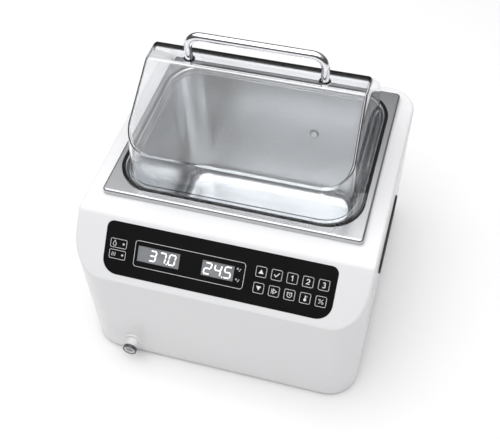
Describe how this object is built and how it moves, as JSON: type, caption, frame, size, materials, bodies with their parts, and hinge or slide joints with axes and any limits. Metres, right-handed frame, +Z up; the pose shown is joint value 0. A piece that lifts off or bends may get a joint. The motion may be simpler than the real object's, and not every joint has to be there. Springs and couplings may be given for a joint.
{
  "type": "water bath",
  "caption": "Bench water bath: steel tank in a white casing with a sloped key panel, a clear gable lid with a bar handle, and a front drain.",
  "frame": {"origin": "on the bench, under the middle of the whole object's box", "axes": "+Z up, the front with the key panel faces -Y, +X to the right seen from the front"},
  "size_m": [0.373, 0.3898, 0.382],
  "materials": {
    "casing_plastic": "glossy white moulding",
    "base_steel": "powder coated sheet",
    "screw_steel": "zinc plated",
    "foot_rubber": "moulded",
    "tank_steel": "polished deep-drawn stainless steel",
    "seal_rubber": "closed-cell foam",
    "lid_clear": "clear vacuum-formed plastic",
    "chrome_plate": "polished",
    "panel_film": "satin black film over moulding",
    "key_film": "satin black with white outline",
    "display_lcd": "grey segment display",
    "indicator_lens": "small round lens",
    "board_laminate": "green solder mask",
    "black_plastic": "moulded",
    "post_brass": "machined",
    "transformer_iron": "laminated core",
    "terminal_plastic": "moulded",
    "spreader_aluminium": "rolled sheet",
    "mat_silicone": "silicone sheet",
    "cutout_case": "phenolic case",
    "insulation_felt": "needled felt",
    "drain_plastic": "white moulding",
    "poppet_plastic": "grey moulding",
    "hose_silicone": "translucent silicone",
    "clip_steel": "worm-drive clip",
    "lead_jacket": "jacketed cable"
  },
  "bodies": {
    "base": {"casing": "casing_plastic", "base_plate": "base_steel", "base_screws": "screw_steel", "clamp_screws": "screw_steel", "board_screws": "screw_steel", "foot_front_left": "foot_rubber", "foot_front_right": "foot_rubber", "foot_rear_left": "foot_rubber", "foot_rear_right": "foot_rubber", "tank": "tank_steel", "tank_clamps": "tank_steel", "tank_seal": "seal_rubber", "temperature_probe": "chrome_plate", "probe_nut": "chrome_plate", "control_panel": "panel_film", "display_left": "display_lcd", "display_right": "display_lcd", "indicator_lights": "indicator_lens", "control_board": "board_laminate", "power_board": "board_laminate", "key_switches": "black_plastic", "heater_relay": "black_plastic", "mains_inlet": "black_plastic", "switch_frame": "black_plastic", "grip_right": "black_plastic", "grip_left": "black_plastic", "board_posts": "post_brass", "power_posts": "post_brass", "inlet_pins": "post_brass", "drain_locknuts": "post_brass", "transformer": "transformer_iron", "terminal_block": "terminal_plastic", "heat_spreader": "spreader_aluminium", "heating_mat": "mat_silicone", "cutout_thermostat": "cutout_case", "tank_insulation": "insulation_felt", "tank_drain": "drain_plastic", "drain_outlet": "drain_plastic", "drain_hose": "hose_silicone", "hose_clips": "clip_steel", "mains_leads": "lead_jacket"},
    "lid": {"lid": "lid_clear", "lid_handle": "chrome_plate", "handle_washers": "chrome_plate", "handle_nuts": "chrome_plate"},
    "key_up": {"key_up": "key_film"},
    "key_set": {"key_set": "key_film"},
    "key_program_1": {"key_program_1": "key_film"},
    "key_program_2": {"key_program_2": "key_film"},
    "key_program_3": {"key_program_3": "key_film"},
    "key_down": {"key_down": "key_film"},
    "key_start": {"key_start": "key_film"},
    "key_timer": {"key_timer": "key_film"},
    "key_calibrate": {"key_calibrate": "key_film"},
    "key_unit": {"key_unit": "key_film"},
    "drain_collar": {"drain_collar": "chrome_plate"},
    "drain_poppet": {"drain_poppet": "poppet_plastic"},
    "fuse_drawer": {"fuse_drawer": "black_plastic"},
    "power_rocker": {"power_rocker": "black_plastic"}
  },
  "joints": [
    {"name": "lid_lift", "type": "slide", "parent": "base", "child": "lid", "axis": [0, 0, 1], "range_m": [0, 0.15]},
    {"name": "key_up_press", "type": "slide", "parent": "base", "child": "key_up", "axis": [0, 0.737, -0.6759], "range_m": [0, 0.00045], "stiffness_N_per_m": 800},
    {"name": "key_set_press", "type": "slide", "parent": "base", "child": "key_set", "axis": [0, 0.737, -0.6759], "range_m": [0, 0.00045], "stiffness_N_per_m": 800},
    {"name": "key_program_1_press", "type": "slide", "parent": "base", "child": "key_program_1", "axis": [0, 0.737, -0.6759], "range_m": [0, 0.00045], "stiffness_N_per_m": 800},
    {"name": "key_program_2_press", "type": "slide", "parent": "base", "child": "key_program_2", "axis": [0, 0.737, -0.6759], "range_m": [0, 0.00045], "stiffness_N_per_m": 800},
    {"name": "key_program_3_press", "type": "slide", "parent": "base", "child": "key_program_3", "axis": [0, 0.737, -0.6759], "range_m": [0, 0.00045], "stiffness_N_per_m": 800},
    {"name": "key_down_press", "type": "slide", "parent": "base", "child": "key_down", "axis": [0, 0.737, -0.6759], "range_m": [0, 0.00045], "stiffness_N_per_m": 800},
    {"name": "key_start_press", "type": "slide", "parent": "base", "child": "key_start", "axis": [0, 0.737, -0.6759], "range_m": [0, 0.00045], "stiffness_N_per_m": 800},
    {"name": "key_timer_press", "type": "slide", "parent": "base", "child": "key_timer", "axis": [0, 0.737, -0.6759], "range_m": [0, 0.00045], "stiffness_N_per_m": 800},
    {"name": "key_calibrate_press", "type": "slide", "parent": "base", "child": "key_calibrate", "axis": [0, 0.737, -0.6759], "range_m": [0, 0.00045], "stiffness_N_per_m": 800},
    {"name": "key_unit_press", "type": "slide", "parent": "base", "child": "key_unit", "axis": [0, 0.737, -0.6759], "range_m": [0, 0.00045], "stiffness_N_per_m": 800},
    {"name": "drain_collar_push", "type": "slide", "parent": "base", "child": "drain_collar", "axis": [0, 1, 0], "range_m": [0, 0.0015], "stiffness_N_per_m": 1000},
    {"name": "drain_poppet_push", "type": "slide", "parent": "base", "child": "drain_poppet", "axis": [0, 1, 0], "range_m": [0, 0.0035], "stiffness_N_per_m": 800},
    {"name": "fuse_drawer_pull", "type": "slide", "parent": "base", "child": "fuse_drawer", "axis": [0, 1, 0], "range_m": [0, 0.015]},
    {"name": "power_rocker_tilt", "type": "hinge", "parent": "base", "child": "power_rocker", "pos_m": [0.078, 0.19055, 0.052], "axis": [1, 0, 0], "range_deg": [0, 12]}
  ]
}
